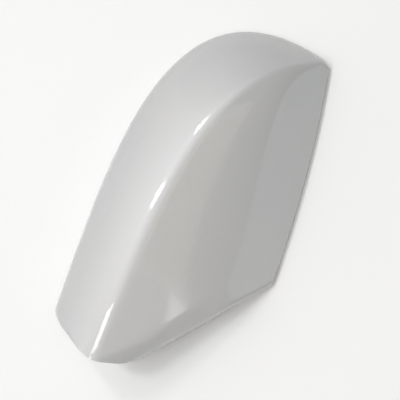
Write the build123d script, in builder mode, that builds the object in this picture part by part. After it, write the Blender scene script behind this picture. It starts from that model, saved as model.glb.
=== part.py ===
"""Wing mirror cover: one thin moulded shell with a swept ridge, and snap hooks and pegs on its inside.

Millimetres, +Z up. The cover lies on its rim with its open side down. +X runs along the lower edge from
the inboard corner to the outboard tip, and +Y from the lower edge to the curved upper rim. The form is
drawn from the inboard corner and moved at the end, so that the origin is the middle of the footprint.
"""
import os
from collections import namedtuple
from math import atan2, cos, degrees, radians, sin

from build123d import *

# Shell
wall = 2.5
edge_height = 4.0
lip_radius = 5.0
flange_depth = 16.0
flange_start = 2.6

# Front face: a flat band along the lower edge, a soft crease, then a slightly swelling face
band_lift = 5.0
crease_turn = 3.0
swell_share = 0.33

# Ridge between the front face and the upper face
ridge_leg = 6.0
ridge_limit = 0.4
front_ease = 0.25
shoulder_ease = 3.0
shoulder_fall = 9.0
haunch_share = 0.55

# Inboard end in plan: a slanted straight run past the inboard corner, then a round nose up to the rim
slant_start = (0.0, 1.0)
slant_end = (-65.2, 66.3)
nose_low = (-54.0, 48.5)
nose_bend = (-75.0, 78.5)
nose_side = (-78.0, 97.5)
nose_end = (-42.5, 190.0)
nose_radius = 22.0
plan_corners = ((260.0, 190.0), (260.0, -90.0), (60.0, -90.0))
blank_end = -84.0

# Opening for the mirror arm in the slanted end, measured along it from the inboard corner
arm_step = 51.0
arm_depth = 9.0

# Depth that the form runs on below the rim before it is cut level
run_on = 30.0

# Snap hooks: a tongue under the skin with a barb at its free end and a gusset on each side
hook_width = 14.0
hook_thickness = 2.2
hook_lift = 2.0
barb_reach = 2.5
barb_height = 5.0
barb_bevel = 1.0
gusset_thickness = 1.5
gusset_lift = 9.0
rim_hook_gap = 7.0
rim_hooks = (0.22, 0.40, 0.58, 0.78)
edge_hook_gap = 14.0
edge_hooks = (0.48, 0.74)

# Locating pegs under the front face, each on a thicker root with crossed fins
peg_radius = 3.0
peg_root_radius = 4.0
peg_lift = 4.0
peg_places = ((8.0, 34.0), (116.0, 34.0))
fin_span = 14.0
fin_thickness = 1.5
fin_lift = 14.0

# Control cuts that pull the skin into shape, from beyond the inboard end to the tip. foot is a point of
# the lower edge, ridge the corner of the ridge, rim a point of the upper rim, lean the steepness of the
# upper face at the rim in degrees, and band the width of the flat band.
Cut = namedtuple("Cut", "foot ridge rim lean band")
cuts = [
    Cut((-85, 12), (-91, 102, 40), (-99, 151), 88, 36),
    Cut((-27, 4), (-22, 87, 54), (-28, 146.5), 88, 29),
    Cut((25, -9), (15, 80, 56), (25, 135), 88, 13),
    Cut((125, -4), (150, 75, 60), (136, 141), 88, 67),
    Cut((138, -1), (147, 20, 18), (191, 98), 75, 23),
    Cut((152.5, 0), (154.3, 2.6, 7), (157.8, 6.8), 60, 1.2),
]

# Strips of the skin, by the control points of a cut that each one takes
strips = [slice(0, 2), slice(1, 3), slice(2, 6), slice(5, 8), slice(7, 11), slice(10, 12)]
plumb = Vector(0, 0, 1)
high = 8 * run_on


def tilt(direction, angle):
    """Level direction turned up by an angle in degrees."""
    return direction * cos(radians(angle)) + plumb * sin(radians(angle))


def control_points(cut):
    """Control points of one cut, from below the lower edge over the ridge to below the rim."""
    foot = Vector(*cut.foot, 0)
    apex = Vector(*cut.ridge)
    toe = Vector(*cut.rim, 0)
    ridge_foot = Vector(apex.X, apex.Y, 0)
    up_front = (ridge_foot - foot).normalized()
    to_rim = (toe - ridge_foot).normalized()

    edge = foot + plumb * edge_height
    reach = apex - edge
    band_slope = degrees(atan2(reach.Z, (ridge_foot - foot).length)) + band_lift
    crease = edge + tilt(up_front, band_slope) * cut.band
    rest = (apex - crease).length
    swell = crease + tilt(up_front, band_slope - crease_turn) * rest * swell_share
    rise = (apex - swell).normalized()
    fall = tilt(to_rim, -shoulder_fall)
    leg = min(ridge_leg, ridge_limit * rest)
    before_ridge = apex - rise * leg
    ease = before_ridge - rise * (rest - leg) * front_ease
    after_ridge = apex + fall * leg
    shoulder = after_ridge + fall * leg * shoulder_ease
    lean = tilt(-to_rim, cut.lean)
    haunch = toe + lean * apex.Z * haunch_share
    under_edge = foot - plumb * run_on
    under_toe = toe - lean * (run_on / lean.Z)
    front = [under_edge, edge, crease, swell, ease, before_ridge]
    return [*front, apex, after_ridge, shoulder, haunch, toe, under_toe]


def moved_in(net, inset):
    """Net of control points with each of its facets, and the tip, moved inwards by the inset."""
    facets = {}
    for i in range(len(net) - 1):
        for k in range(len(net[0]) - 1):
            across = net[i + 1][k + 1] - net[i][k]
            back = net[i][k + 1] - net[i + 1][k]
            facets[i, k] = across.cross(back).normalized()
    moved = []
    for i, cut in enumerate(net):
        row = []
        for k, point in enumerate(cut):
            places = ((i - 1, k - 1), (i - 1, k), (i, k - 1), (i, k))
            around = [facets[place] for place in places if place in facets]
            mean = sum(around, Vector()) / len(around)
            row.append(point - mean * (inset / mean.dot(mean)))
        moved.append(row)
    tip = (net[-1][0] - net[-1][-1]).cross(plumb).normalized()
    moved[-1] = [point + tip * inset for point in moved[-1]]
    return moved


def flattened(row):
    """Control points of an end cut, brought into one upright plane."""
    along = Vector(row[-1].X - row[0].X, row[-1].Y - row[0].Y).normalized()
    return [row[0] + along * (point - row[0]).dot(along) + plumb * (point.Z - row[0].Z) for point in row]


def closed_form(net):
    """Solid under the skin, closed below the rim and at both ends."""
    net = [flattened(net[0]), *net[1:-1], flattened(net[-1])]
    faces = [Face.make_bezier_surface([row[strip] for row in net]) for strip in strips]
    faces.append(Face.make_bezier_surface([[row[-1], row[0]] for row in net]))
    for row in (net[0], net[-1]):
        edges = [Edge.make_bezier(*row[strip]) for strip in strips]
        edges.append(Edge.make_line(row[-1], row[0]))
        faces.append(Face(Wire(edges)))
    return Solid(Shell(faces))


def form(net, inset):
    """Whole form of the cover, moved in by the inset, running on below the rim."""
    with BuildPart() as body:
        add(closed_form(moved_in(net, inset) if inset else net))
        split(bisect_by=Plane.YZ.offset(blank_end), keep=Keep.TOP)
        split(bisect_by=slant.offset(inset), keep=Keep.TOP)
        lip = body.faces().filter_by(slant).edges()
        lip = lip.filter_by(Axis.Z, reverse=True).filter_by_position(Axis.Z, 0, high)
        fillet(lip, lip_radius - inset)
        with BuildSketch(Plane.XY.offset(-2 * run_on)):
            with BuildLine():
                FilletPolyline(nose_low, nose_bend, nose_side, nose_end, radius=nose_radius)
                Polyline(nose_end, *plan_corners, nose_low)
            make_face()
            if inset:
                offset(amount=-inset)
        extrude(amount=high, mode=Mode.INTERSECT)
    return body.part


def under_skin(depth, outline):
    """Solid below the skin by a depth, inside an outline that is drawn on the slanted end."""
    with BuildPart() as body:
        with Locations((0, 0, -depth)):
            add(closed_form(net))
        with BuildSketch(slant.offset(-arm_depth)):
            with BuildLine():
                Polyline(*outline, close=True)
            make_face()
        extrude(amount=2 * arm_depth, mode=Mode.INTERSECT)
    return body.part


def hook(plane, gap):
    """One snap hook, drawn inwards and upwards from a point of the rim, running up through the skin."""
    with BuildPart() as piece:
        with BuildSketch(plane):
            with Locations((gap, hook_lift)):
                Rectangle(hook_thickness, high, align=(Align.MIN, Align.MIN))
            with BuildLine():
                Polyline(
                    (gap + hook_thickness, hook_lift),
                    (gap + hook_thickness + barb_reach, hook_lift + barb_height - barb_reach),
                    (gap + hook_thickness + barb_reach, hook_lift + barb_height - barb_bevel),
                    (gap + hook_thickness, hook_lift + barb_height),
                    close=True,
                )
            make_face()
        extrude(amount=hook_width / 2, both=True)
        for side in (-1, 1):
            with BuildSketch(plane.offset(side * (hook_width - gusset_thickness) / 2)):
                with Locations((0, gusset_lift)):
                    Rectangle(gap + hook_thickness / 2, high, align=(Align.MIN, Align.MIN))
            extrude(amount=gusset_thickness / 2, both=True)
    return piece.part


run = Vector(*slant_end) - Vector(*slant_start)
slant = Plane(Vector(*slant_start), x_dir=run, z_dir=run.cross(plumb))
net = [control_points(cut) for cut in cuts]
rim_line = Edge.make_bezier(*[row[-2] for row in net])
edge_line = Edge.make_bezier(*[row[1] - plumb * edge_height for row in net])
outer = form(net, 0)
middle = form(net, wall / 2)
inner = form(net, wall)

hooks = []
for share in rim_hooks:
    along = rim_line % share
    hooks.append(hook(Plane(rim_line @ share, x_dir=along.cross(plumb), z_dir=-along), rim_hook_gap))
for share in edge_hooks:
    along = edge_line % share
    hooks.append(hook(Plane(edge_line @ share, x_dir=plumb.cross(along), z_dir=along), edge_hook_gap))

# Hooks and pegs, rooted half a wall deep in the shell
with BuildPart() as fittings:
    add(hooks)
    with BuildSketch(Plane.XY.offset(peg_lift)):
        with Locations(*peg_places):
            Circle(peg_radius)
    extrude(amount=fin_lift - peg_lift)
    with BuildSketch(Plane.XY.offset(fin_lift)):
        with Locations(*peg_places):
            Circle(peg_root_radius)
            Rectangle(fin_span, fin_thickness)
            Rectangle(fin_thickness, fin_span)
    extrude(amount=high)
    add(middle, mode=Mode.INTERSECT)

# The slanted end keeps only a return flange below its lip, shallow at first and then deeper
far = 2 * run.length
deep = 2 * run_on
whole_end = [(-deep, -deep), (far, -deep), (far, deep), (-deep, deep)]
first_part = [(-deep, -deep), (arm_step + deep, -deep), (arm_step - deep, deep), (-deep, deep)]
flange_cut = under_skin(flange_depth, whole_end)
start_cut = under_skin(flange_start, first_part)

with BuildPart() as shell:
    add(outer)
    split(bisect_by=Plane.XY, keep=Keep.TOP)
    add(inner, mode=Mode.SUBTRACT)
    add([flange_cut, start_cut], mode=Mode.SUBTRACT)
    add(fittings.part)

extent = shell.part.bounding_box()
with BuildPart() as mirror_cover:
    with Locations((-extent.center().X, -extent.center().Y, 0)):
        add(shell.part)
mirror_cover.part.label = "mirror_cover"
os.makedirs("parts", exist_ok=True)
export_step(mirror_cover.part, "parts/mirror_cover.step")
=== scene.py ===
"""Looks of the wing mirror cover: pearl lacquer on its outside, bare dark plastic on its inside."""
from math import atan, cos, pi, radians, sin, sqrt

import bmesh
import bpy
from mathutils import Matrix, Vector


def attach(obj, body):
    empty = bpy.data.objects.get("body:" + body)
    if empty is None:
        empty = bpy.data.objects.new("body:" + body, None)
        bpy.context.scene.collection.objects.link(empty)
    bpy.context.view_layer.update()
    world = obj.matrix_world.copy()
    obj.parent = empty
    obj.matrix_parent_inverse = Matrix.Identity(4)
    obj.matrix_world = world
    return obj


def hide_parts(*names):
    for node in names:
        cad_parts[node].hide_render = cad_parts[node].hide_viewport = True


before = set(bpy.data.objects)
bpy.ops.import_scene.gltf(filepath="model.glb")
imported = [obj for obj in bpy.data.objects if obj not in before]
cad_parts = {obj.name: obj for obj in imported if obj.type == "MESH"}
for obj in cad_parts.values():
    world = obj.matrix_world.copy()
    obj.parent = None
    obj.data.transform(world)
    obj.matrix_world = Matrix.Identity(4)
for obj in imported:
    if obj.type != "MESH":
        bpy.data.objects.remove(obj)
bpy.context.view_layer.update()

# Camera: it looks down on the cover from its lower edge, and the roll turns the cover in the frame
CAMERA_SIDE = Vector((0.03, -0.2908, 0.9563)).normalized()
CAMERA_TARGET = Vector((0.00066, -0.00717, 0.02))
CAMERA_DISTANCE = 0.95
CAMERA_ROLL = radians(75.52)
CAMERA_STEP = (0.0050, -0.0015)
CAMERA_REACH = 20
HALF_FRAME = 0.1356

# Mesh of the cover: vertices this close are one, and edges sharper than this stay sharp. Each finish has
# its place in the mesh's list of materials.
WELD = 2e-6
SHARP_ANGLE = radians(40)
PAINTED = 0
BARE = 1

# Soft crease of the front: the normals turn by an angle between these two, and after softening they do so
# over this width on each side
CREASE_LEAST = radians(1.5)
CREASE_MOST = radians(8)
CREASE_WIDTH = 0.0012

# Height at which the forms below have their whole depth, so that the rim keeps its level
RIM_RISE = 0.012

# Roll of the slanted end: the skin bends down towards it, by rows, over this width and by this much.
# It starts beside the inboard corner, grows along the end, and leaves the rim where it is. Here and below,
# a plane and a start are distances from the origin, along the direction that they belong to.
ROLL_INWARD = Vector((65.3, 65.2, 0)).normalized()
ROLL_ALONG = Vector((-65.2, 65.3, 0)).normalized()
ROLL_PLANE = -0.08166
ROLL_WIDTH = 0.013
ROLL_DROP = 0.0022
ROLL_ROWS = 7
ROLL_START = 0.006
ROLL_GROWTH = 0.034

# Edge of the flat inboard end, rounded by rows. The radius grows along the end, from the ridge to the rim.
# Corners that face outwards more than NOSE_FACING belong to the flat end itself and stay.
NOSE_OUTWARD = Vector((-92.5, 35.5, 0)).normalized()
NOSE_ALONG = Vector((35.5, 92.5, 0)).normalized()
NOSE_PLANE = 0.12329
NOSE_RADIUS = 0.006
NOSE_ROWS = 6
NOSE_START = -0.010
NOSE_GROWTH = 0.020
NOSE_FACING = 0.7

# Lamps, each with its direction from the cover as right, up and towards the camera, its distance in metres,
# its lean in degrees, its size in metres, the light that it brings to the cover, and its colour. The spots
# make the short streaks on the ridge. The front mirrors the front panel, its foot and the small card, and
# only the band along the lower edge and the rolled lip mirror the panels named after them. The side and low
# panels stand far off, because the floor shows where they stand.
NEAR = 1.2
FAR = 2.4
WHITE = (1.0, 1.0, 1.0)
WARM = (1.0, 0.915, 0.72)
COOL = (0.90, 0.95, 1.0)
LAMPS = {
    "spot_top": ((-0.47, 0.57, 0.68), NEAR, -38, (0.26, 0.13), 0.41, WHITE),
    "spot_middle": ((-0.59, 0.19, 0.78), NEAR, -22, (0.26, 0.11), 0.47, WHITE),
    "spot_low": ((-0.58, -0.355, 0.735), NEAR, -17, (0.26, 0.19), 0.34, WHITE),
    "side_panel": ((-0.96, 0.25, 0.05), FAR, 0, (1.80, 3.20), 0.34, WHITE),
    "low_panel": ((-0.75, -0.65, 0.10), FAR, 0, (1.80, 3.20), 0.50, WHITE),
    "front_panel": ((0.176, -0.144, 0.974), NEAR, -16, (0.42, 0.735), 0.21, WARM),
    "front_foot": ((0.058, -0.555, 0.830), NEAR, -16, (0.42, 0.400), 0.095, WHITE),
    "band_panel": ((0.69, -0.23, 0.68), NEAR, -30, (0.24, 0.79), 0.15, COOL),
    "lip_panel": ((0.40, -0.84, 0.36), NEAR, 0, (0.70, 0.50), 0.10, WHITE),
    "window_card": ((0.198, -0.505, 0.840), NEAR, -25, (0.09, 0.11), 0.022, WHITE),
}

# Light from all round, which grows towards one side, and a white floor, which glows a little where it is seen
WORLD_SIDE = (-0.70, 0.50, 0.50)
WORLD_LEAST = 0.165
WORLD_MOST = 0.77
FLOOR_SIZE = 8
FLOOR_COLOUR = (0.87, 0.87, 0.87, 1)
FLOOR_ROUGHNESS = 0.9
FLOOR_GLOW = 0.09

# Scales of noise count cells to the metre, and two shades blend over the middle range of a noise
NOISE_RANGE = (0.35, 0.65)

# Lacquer: soft clouds of two shades, flakes that each lean their own way, and a clear coat with orange peel
BASE_METALLIC = 0.9
BASE_ROUGHNESS = 0.65
COAT_ROUGHNESS = 0.08
WARM_SHADE = (0.706, 0.703, 0.697)
COOL_SHADE = (0.695, 0.697, 0.700)
CLOUD_SCALE = 14
CLOUD_DETAIL = 2
FLAKE_SCALE = 4000
FLAKE_MIDDLE = 0.5
FLAKE_LEAN = 0.10
FLAKE_SHARE = 0.03
PEEL_SCALE = 300
PEEL_DETAIL = 1
PEEL_STRENGTH = 0.02
PEEL_DEPTH = 0.0003

# Bare plastic: fine moulded grain, with a haze of paint that drifted in over the rim
DARK_SHADE = (0.024, 0.024, 0.026)
LIGHT_SHADE = (0.036, 0.036, 0.038)
MOTTLE_SCALE = 60
MOTTLE_DETAIL = 4
PLASTIC_ROUGHNESS = (0.45, 0.65)
GRAIN_SCALE = 1200
GRAIN_DETAIL = 2
GRAIN_STRENGTH = 0.4
GRAIN_DEPTH = 0.0001
HAZE_SHADE = (0.30, 0.30, 0.295, 1)
HAZE_HEIGHT = 0.009
HAZE_MOST = 0.45


def camera_axes():
    """Directions to the right and up in the picture."""
    right_0 = (Vector((1, 0, 0)) - CAMERA_SIDE * CAMERA_SIDE.x).normalized()
    up_0 = CAMERA_SIDE.cross(right_0)
    right = right_0 * cos(CAMERA_ROLL) - up_0 * sin(CAMERA_ROLL)
    up = right_0 * sin(CAMERA_ROLL) + up_0 * cos(CAMERA_ROLL)
    return right, up


def add_camera():
    """The scene's camera, at the photograph's viewing angle."""
    right, up = camera_axes()
    data = bpy.data.cameras.new("camera")
    data.angle = 2 * atan(HALF_FRAME / CAMERA_DISTANCE)
    data.clip_end = CAMERA_REACH
    camera = bpy.data.objects.new("camera", data)
    step = right * CAMERA_STEP[0] + up * CAMERA_STEP[1]
    place = CAMERA_TARGET + CAMERA_SIDE * CAMERA_DISTANCE + step
    turn = Matrix((right, up, CAMERA_SIDE)).transposed().to_4x4()
    camera.matrix_world = Matrix.Translation(place) @ turn
    bpy.context.scene.collection.objects.link(camera)
    bpy.context.scene.camera = camera


def direction_of(right, up, towards):
    """Direction in the scene, from its shares to the right, up and towards the camera in the picture."""
    right_axis, up_axis = camera_axes()
    return (right_axis * right + up_axis * up + CAMERA_SIDE * towards).normalized()


def add_lamp(name, direction, distance, lean, size, light, colour):
    """Rectangular lamp that faces the cover."""
    side = direction_of(*direction)
    level = camera_axes()[1].cross(side).normalized()
    across = Matrix.Rotation(radians(lean), 3, side) @ level
    turn = Matrix((across, side.cross(across), side)).transposed().to_4x4()
    data = bpy.data.lights.new(name, "AREA")
    data.shape = "RECTANGLE"
    data.size, data.size_y = size
    data.energy = light * pi * distance ** 2
    data.color = colour
    lamp = bpy.data.objects.new(name, data)
    lamp.matrix_world = Matrix.Translation(CAMERA_TARGET + side * distance) @ turn
    bpy.context.scene.collection.objects.link(lamp)


def new_material(name):
    """New material with its node tree and its shader."""
    material = bpy.data.materials.new(name)
    material.use_nodes = True
    return material, material.node_tree, material.node_tree.nodes["Principled BSDF"]


def add_node(tree, kind, inputs, **settings):
    """New shader node with its settings, and with a value or a link for each of its named inputs."""
    node = tree.nodes.new(kind)
    for name, value in settings.items():
        setattr(node, name, value)
    for name, value in inputs.items():
        if isinstance(value, bpy.types.NodeSocket):
            tree.links.new(value, node.inputs[name])
        else:
            node.inputs[name].default_value = value
    return node


def shades(tree, noise, low, high):
    """Colour that goes from one shade to another over the middle range of a noise."""
    ramp = add_node(tree, "ShaderNodeValToRGB", {"Fac": noise})
    for stop, level, shade in zip(ramp.color_ramp.elements, NOISE_RANGE, (low, high)):
        stop.position = level
        stop.color = (*shade, 1)
    return ramp.outputs["Color"]


def lacquer():
    """Pearl base coat with fine flakes and soft clouds, under a clear coat with a trace of orange peel."""
    material, tree, shader = new_material("pearl_lacquer")
    shader.inputs["Metallic"].default_value = BASE_METALLIC
    shader.inputs["Roughness"].default_value = BASE_ROUGHNESS
    shader.inputs["Specular Tint"].default_value = (0, 0, 0, 1)
    shader.inputs["Coat Weight"].default_value = 1.0
    shader.inputs["Coat Roughness"].default_value = COAT_ROUGHNESS
    place = add_node(tree, "ShaderNodeTexCoord", {}).outputs["Object"]
    normal = add_node(tree, "ShaderNodeNewGeometry", {}).outputs["Normal"]

    flakes = add_node(tree, "ShaderNodeTexVoronoi", {"Vector": place, "Scale": FLAKE_SCALE})
    turn = add_node(
        tree,
        "ShaderNodeVectorMath",
        {0: flakes.outputs["Color"], 1: (FLAKE_MIDDLE,) * 3},
        operation="SUBTRACT",
    )
    lean = add_node(
        tree,
        "ShaderNodeVectorMath",
        {0: turn.outputs["Vector"], 1: (FLAKE_LEAN,) * 3, 2: normal},
        operation="MULTIPLY_ADD",
    )
    facing = add_node(tree, "ShaderNodeVectorMath", {0: lean.outputs["Vector"]}, operation="NORMALIZE")
    tree.links.new(facing.outputs["Vector"], shader.inputs["Normal"])

    clouds = add_node(
        tree,
        "ShaderNodeTexNoise",
        {"Vector": place, "Scale": CLOUD_SCALE, "Detail": CLOUD_DETAIL},
    )
    shade = shades(tree, clouds.outputs["Fac"], WARM_SHADE, COOL_SHADE)
    speckle = add_node(
        tree,
        "ShaderNodeMixRGB",
        {"Fac": FLAKE_SHARE, "Color1": shade, "Color2": flakes.outputs["Color"]},
    )
    tree.links.new(speckle.outputs["Color"], shader.inputs["Base Color"])

    peel = add_node(
        tree,
        "ShaderNodeTexNoise",
        {"Vector": place, "Scale": PEEL_SCALE, "Detail": PEEL_DETAIL},
    )
    waves = add_node(
        tree,
        "ShaderNodeBump",
        {"Strength": PEEL_STRENGTH, "Distance": PEEL_DEPTH, "Height": peel.outputs["Fac"]},
    )
    tree.links.new(waves.outputs["Normal"], shader.inputs["Coat Normal"])
    return material


def bare_plastic():
    """Dark moulded plastic with a fine grain, and a haze of paint near the rim."""
    material, tree, shader = new_material("bare_plastic")
    place = add_node(tree, "ShaderNodeTexCoord", {}).outputs["Object"]
    mottle = add_node(
        tree,
        "ShaderNodeTexNoise",
        {"Vector": place, "Scale": MOTTLE_SCALE, "Detail": MOTTLE_DETAIL},
    )
    shade = shades(tree, mottle.outputs["Fac"], DARK_SHADE, LIGHT_SHADE)

    height = add_node(tree, "ShaderNodeSeparateXYZ", {"Vector": place}).outputs["Z"]
    drift = add_node(
        tree,
        "ShaderNodeMapRange",
        {"Value": height, "From Min": 0, "From Max": HAZE_HEIGHT, "To Min": HAZE_MOST, "To Max": 0},
    )
    haze = add_node(
        tree,
        "ShaderNodeMath",
        {0: drift.outputs["Result"], 1: mottle.outputs["Fac"]},
        operation="MULTIPLY",
    )
    colour = add_node(
        tree,
        "ShaderNodeMixRGB",
        {"Fac": haze.outputs["Value"], "Color1": shade, "Color2": HAZE_SHADE},
    )
    tree.links.new(colour.outputs["Color"], shader.inputs["Base Color"])

    smoothest, roughest = PLASTIC_ROUGHNESS
    gloss = add_node(
        tree,
        "ShaderNodeMapRange",
        {"Value": mottle.outputs["Fac"], "To Min": smoothest, "To Max": roughest},
    )
    tree.links.new(gloss.outputs["Result"], shader.inputs["Roughness"])
    grain = add_node(
        tree,
        "ShaderNodeTexNoise",
        {"Vector": place, "Scale": GRAIN_SCALE, "Detail": GRAIN_DETAIL},
    )
    relief = add_node(
        tree,
        "ShaderNodeBump",
        {"Strength": GRAIN_STRENGTH, "Distance": GRAIN_DEPTH, "Height": grain.outputs["Fac"]},
    )
    tree.links.new(relief.outputs["Normal"], shader.inputs["Normal"])
    return material


def outer_skin(shape):
    """Faces that can be reached from the highest face without crossing a sharp edge."""
    top = max(shape.faces, key=lambda face: face.calc_center_median().z)
    reached = {top}
    waiting = [top]
    while waiting:
        for edge in waiting.pop().edges:
            if edge.smooth:
                fresh = set(edge.link_faces) - reached
                reached |= fresh
                waiting.extend(fresh)
    return reached


def crease_edges(shape, normal_of):
    """Edges of the soft crease, where the normals of the two faces turn a little."""
    found = []
    for edge in shape.edges:
        one, other = edge.link_loops
        turn = max(
            normal_of(one).angle(normal_of(other.link_loop_next)),
            normal_of(one.link_loop_next).angle(normal_of(other)),
        )
        if CREASE_LEAST < turn < CREASE_MOST:
            found.append(edge)
    return found


def soften_crease(shape, normal_of):
    """Gives the crease a row of vertices on each side, so that its shading turns over a short way."""
    on_crease = {vert for edge in crease_edges(shape, normal_of) for vert in edge.verts}
    beside = []
    for edge in list(shape.edges):
        ends = [vert for vert in edge.verts if vert in on_crease]
        if len(ends) == 1 and edge.calc_length() > 2 * CREASE_WIDTH:
            fresh = bmesh.utils.edge_split(edge, ends[0], CREASE_WIDTH / edge.calc_length())
            beside.append(fresh[1])
    bmesh.ops.connect_verts(shape, verts=beside)


def smooth_step(way):
    """Rise from 0 to 1 along the way, level at both ends."""
    return way ** 2 * (3 - 2 * way)


def smooth_slope(way):
    """Slope of the smooth step."""
    return 6 * way * (1 - way)


def bend_lip(shape, layer):
    """Bends the skin down in a broad roll towards the slanted end, and its stored normals with it."""
    for row in range(1, ROLL_ROWS + 1):
        bmesh.ops.bisect_plane(
            shape,
            geom=[*shape.verts, *shape.edges, *shape.faces],
            plane_co=ROLL_INWARD * (ROLL_PLANE + ROLL_WIDTH * row / ROLL_ROWS),
            plane_no=ROLL_INWARD,
        )
    for vert in shape.verts:
        share = min(1, 1 - (vert.co.dot(ROLL_INWARD) - ROLL_PLANE) / ROLL_WIDTH)
        way = min(1, (vert.co.dot(ROLL_ALONG) - ROLL_START) / ROLL_GROWTH)
        if share > 0 and way > 0:
            most = ROLL_DROP * min(1, vert.co.z / RIM_RISE)
            drop = most * smooth_step(way)
            slope_out = 2 * share * drop / ROLL_WIDTH
            slope_along = share ** 2 * most * smooth_slope(way) / ROLL_GROWTH
            for loop in vert.link_loops:
                loop[layer] += (ROLL_ALONG * slope_along - ROLL_INWARD * slope_out) * loop[layer].z
            vert.co.z -= drop * share ** 2


def round_nose(shape, layer):
    """Rounds the edge between the painted skin and the flat inboard end, and turns the stored normals."""
    for row in range(NOSE_ROWS):
        depth = NOSE_RADIUS * (1 - sin(pi / 2 * row / NOSE_ROWS))
        painted = [face for face in shape.faces if face.material_index == PAINTED]
        edges = {edge for face in painted for edge in face.edges}
        verts = {vert for face in painted for vert in face.verts}
        bmesh.ops.bisect_plane(
            shape,
            geom=[*verts, *edges, *painted],
            plane_co=NOSE_OUTWARD * (NOSE_PLANE - depth),
            plane_no=NOSE_OUTWARD,
        )
    for vert in shape.verts:
        way = max(0, min(1, (vert.co.dot(NOSE_ALONG) - NOSE_START) / NOSE_GROWTH))
        radius = NOSE_RADIUS * smooth_step(way)
        depth = max(0, NOSE_PLANE - vert.co.dot(NOSE_OUTWARD))
        skin = [
            loop
            for loop in vert.link_loops
            if loop.face.material_index == PAINTED
            and loop[layer].normalized().dot(NOSE_OUTWARD) < NOSE_FACING
        ]
        if skin and depth < radius:
            lean = 1 - depth / radius
            inward = sum((loop[layer] for loop in skin), Vector())
            inward = (inward - NOSE_OUTWARD * inward.dot(NOSE_OUTWARD)).normalized()
            inward.z *= min(1, vert.co.z / RIM_RISE)
            rest = sqrt(1 - lean ** 2)
            for loop in skin:
                loop[layer] = loop[layer].normalized() * rest + NOSE_OUTWARD * lean
            vert.co -= inward * radius * (1 - rest)


def mark_sharp(shape):
    """Marks each edge as sharp or smooth by the angle between its faces."""
    for edge in shape.edges:
        edge.smooth = edge.calc_face_angle() < SHARP_ANGLE


def blended_normals(shape, normal_of):
    """One normal for each corner: the mean of the corners around its vertex that point nearly its way."""
    normals = []
    for face in shape.faces:
        for loop in face.loops:
            own = normal_of(loop)
            around = loop.vert.link_loops
            near = [other for other in around if normal_of(other).angle(own) < SHARP_ANGLE]
            total = sum((normal_of(other) * other.calc_angle() for other in near), Vector())
            normals.append(total.normalized())
    return normals


def add_cover(node):
    """The cover with its own finish inside and outside, and with shading that runs on across its faces."""
    mesh = node.data.copy()
    mesh.materials.clear()
    mesh.materials.append(lacquer())
    mesh.materials.append(bare_plastic())
    kept = mesh.attributes.new("cad_normal", "FLOAT_VECTOR", "CORNER")
    for place, corner in zip(kept.data, mesh.corner_normals):
        place.vector = corner.vector
    mesh.attributes.remove(mesh.attributes["custom_normal"])
    shape = bmesh.new()
    shape.from_mesh(mesh)
    bmesh.ops.remove_doubles(shape, verts=shape.verts, dist=WELD)
    layer = shape.loops.layers.float_vector["cad_normal"]

    def normal_of(loop):
        return loop[layer].normalized()

    soften_crease(shape, normal_of)
    bend_lip(shape, layer)
    mark_sharp(shape)
    painted = outer_skin(shape)
    for face in shape.faces:
        face.smooth = True
        face.material_index = PAINTED if face in painted else BARE
    round_nose(shape, layer)
    mark_sharp(shape)
    normals = blended_normals(shape, normal_of)
    shape.to_mesh(mesh)
    shape.free()
    mesh.attributes.remove(mesh.attributes["cad_normal"])
    mesh.normals_split_custom_set(normals)
    cover = bpy.data.objects.new("painted_cover", mesh)
    bpy.context.scene.collection.objects.link(cover)
    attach(cover, "root")
    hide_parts("mirror_cover")


def add_floor():
    """White floor, which holds the cover's shadow. Its glow shows in the picture and in the gloss."""
    material, tree, shader = new_material("floor_paint")
    shader.inputs["Base Color"].default_value = FLOOR_COLOUR
    shader.inputs["Roughness"].default_value = FLOOR_ROUGHNESS
    shader.inputs["Specular IOR Level"].default_value = 0.0
    shader.inputs["Emission Color"].default_value = (1, 1, 1, 1)
    ray = add_node(tree, "ShaderNodeLightPath", {}).outputs
    seen = add_node(
        tree,
        "ShaderNodeMath",
        {0: ray["Is Camera Ray"], 1: ray["Is Glossy Ray"]},
        operation="MAXIMUM",
    )
    shown = add_node(
        tree,
        "ShaderNodeMath",
        {0: seen.outputs["Value"], 1: ray["Is Transmission Ray"]},
        operation="MAXIMUM",
    )
    glow = add_node(
        tree,
        "ShaderNodeMath",
        {0: shown.outputs["Value"], 1: FLOOR_GLOW},
        operation="MULTIPLY",
    )
    tree.links.new(glow.outputs["Value"], shader.inputs["Emission Strength"])
    bpy.ops.mesh.primitive_plane_add(size=FLOOR_SIZE)
    floor = bpy.context.object
    floor.name = "floor"
    floor.data.materials.append(material)


def add_world():
    """Soft light from all round, which grows towards one side."""
    world = bpy.data.worlds.new("studio")
    world.use_nodes = True
    tree = world.node_tree
    background = tree.nodes["Background"]
    background.inputs["Color"].default_value = (1, 1, 1, 1)
    place = add_node(tree, "ShaderNodeTexCoord", {}).outputs["Generated"]
    towards = add_node(
        tree,
        "ShaderNodeVectorMath",
        {0: place, 1: direction_of(*WORLD_SIDE)},
        operation="DOT_PRODUCT",
    )
    light = add_node(
        tree,
        "ShaderNodeMapRange",
        {"Value": towards.outputs["Value"], "To Min": WORLD_LEAST, "To Max": WORLD_MOST},
    )
    tree.links.new(light.outputs["Result"], background.inputs["Strength"])
    bpy.context.scene.world = world


bpy.context.scene.view_settings.view_transform = "Standard"
add_camera()
for lamp_name, lamp in LAMPS.items():
    add_lamp(lamp_name, *lamp)
add_world()
add_floor()
add_cover(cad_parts["mirror_cover"])
